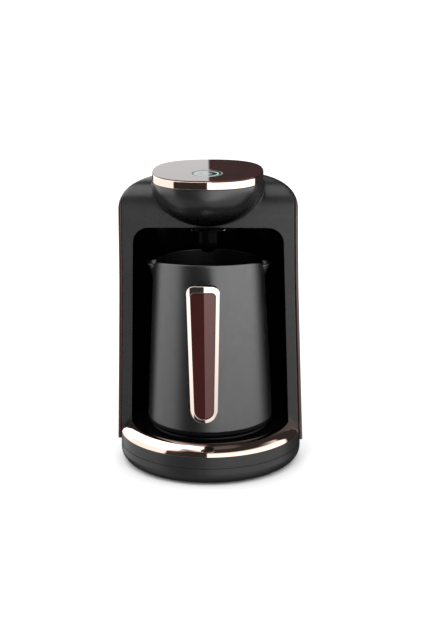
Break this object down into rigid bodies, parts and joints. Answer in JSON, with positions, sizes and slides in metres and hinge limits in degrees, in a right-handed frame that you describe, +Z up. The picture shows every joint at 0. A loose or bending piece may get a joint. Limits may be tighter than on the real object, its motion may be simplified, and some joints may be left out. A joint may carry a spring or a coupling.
{
  "type": "electric turkish coffee maker",
  "caption": "Countertop coffee maker: round heated base with a copper ring, arched housing, bowl-shaped head with a key, and a tapered metal pot with two pouring lips and a front handle.",
  "frame": {"origin": "on the table under the middle of the whole object's box; the round base's centre is 10.85 mm behind it", "axes": "+Z up, -Y towards the user (the handle side), +X to the viewer's right"},
  "size_m": [0.1578, 0.175, 0.2515],
  "materials": {
    "base_black": "satin, fine moulded grain",
    "frame_black": "satin",
    "cavity_black": "high gloss",
    "floor_black": "high gloss",
    "panel_brown": "high gloss, dark coffee brown",
    "glass_brown": "back-printed dark brown glass",
    "key_brown": "gloss with a lit ring",
    "copper": "polished rose copper plating",
    "pot_metal": "dark satin metallic coating",
    "plate_metal": "dark coated",
    "steel": "zinc plated",
    "alu": "plain",
    "rubber_black": "matt",
    "silicone": "red silicone",
    "mica": "mica board",
    "ceramic_white": "white ceramic",
    "pcb": "green circuit board",
    "part_blue": "moulded",
    "part_black": "moulded",
    "part_cream": "moulded",
    "core_yellow": "taped winding",
    "wire_red": "silicone insulated wire",
    "light_guide": "frosted light guide",
    "handle_black": "satin",
    "lens_dark": "infrared window"
  },
  "bodies": {
    "machine": {"base_pan": "base_black", "base_skirt": "base_black", "base_deck": "steel", "trim_ring": "copper", "rubber_feet": "rubber_black", "base_screws": "steel", "floor_plate": "floor_black", "hot_plate": "plate_metal", "insulation_ring": "mica", "plate_seal": "silicone", "heating_element": "steel", "heat_shield": "alu", "thermostat": "ceramic_white", "thermal_fuse": "alu", "probe_guide": "ceramic_white", "probe_spring": "steel", "front_frame": "frame_black", "cavity_liner": "cavity_black", "side_panel_left": "panel_brown", "side_panel_right": "panel_brown", "rear_cover": "frame_black", "rear_screws": "steel", "cord_grommet": "rubber_black", "cord_clamp": "part_cream", "terminal_block": "part_cream", "power_board": "pcb", "board_screws": "steel", "transformer": "core_yellow", "relay": "part_blue", "capacitors": "part_black", "wiring_loom": "wire_red", "head_bowl": "frame_black", "head_band": "copper", "panel_carrier": "part_black", "touch_panel": "glass_brown", "key_spring": "steel", "key_light_ring": "light_guide", "key_switch": "part_black", "control_board": "pcb", "head_screws": "steel", "buzzer": "part_black", "sensor_dome": "cavity_black", "sensor_lens": "lens_dark", "sensor_board": "pcb", "sensor_screws": "steel"},
    "pot": {"pot_body": "pot_metal", "pot_base": "alu", "pot_foot_ring": "handle_black", "handle_bracket": "steel", "handle_core": "handle_black", "handle_trim": "copper", "handle_insert": "panel_brown", "handle_screws": "steel"},
    "brew_key": {"brew_key": "key_brown"},
    "temp_probe": {"temp_probe": "alu"}
  },
  "joints": [
    {"name": "pot_out", "type": "slide", "parent": "machine", "child": "pot", "axis": [0, -1, 0], "range_m": [0, 0.14]},
    {"name": "key_press", "type": "slide", "parent": "machine", "child": "brew_key", "axis": [0, 0, -1], "range_m": [0, 0.001], "stiffness_N_per_m": 800, "springref_m": -0.001, "deforming": ["key_spring"]},
    {"name": "probe_press", "type": "slide", "parent": "machine", "child": "temp_probe", "axis": [0, 0, -1], "range_m": [0, 0.0015], "stiffness_N_per_m": 600, "springref_m": -0.002, "deforming": ["probe_spring"]}
  ]
}
